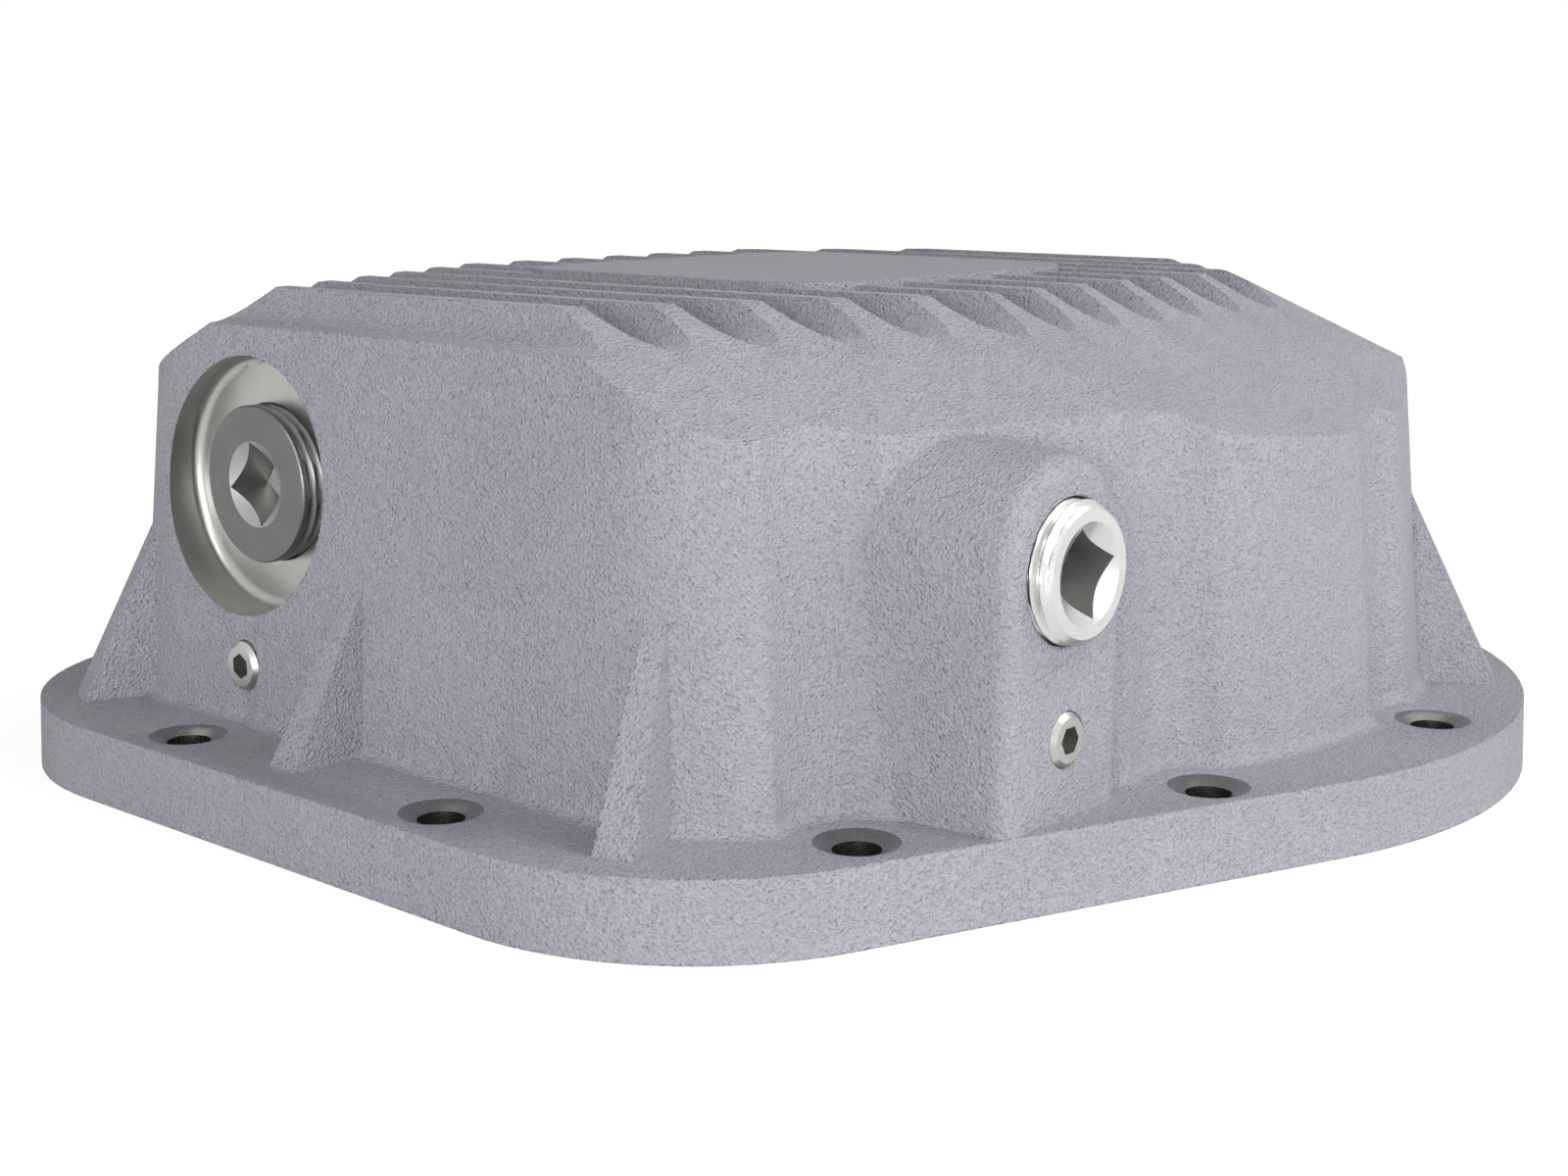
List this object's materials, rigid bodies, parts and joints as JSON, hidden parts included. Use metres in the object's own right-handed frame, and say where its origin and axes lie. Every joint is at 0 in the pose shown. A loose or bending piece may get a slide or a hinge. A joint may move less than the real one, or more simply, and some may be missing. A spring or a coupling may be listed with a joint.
{
  "type": "differential cover",
  "caption": "Finned cast cover that closes a differential housing, with a bolted flange, an arched fill boss and a recessed drain plug.",
  "frame": {"origin": "middle of the flange's mating face, on the plane of symmetry of the bolt pattern", "axes": "+Z out of the housing towards the fins, +X along the fins towards the fill boss, -Y towards the drain plug"},
  "size_m": [0.3288, 0.3174, 0.106],
  "materials": {
    "cast_body": "as cast, fine grain",
    "bright_plug": "bright, turned",
    "grey_plug": "satin, turned",
    "port_plug": "satin"
  },
  "bodies": {
    "root": {"cover_casting": "cast_body", "fill_plug": "bright_plug", "drain_plug": "grey_plug", "fill_side_port_plug": "port_plug", "drain_side_port_plug": "port_plug"}
  },
  "joints": []
}
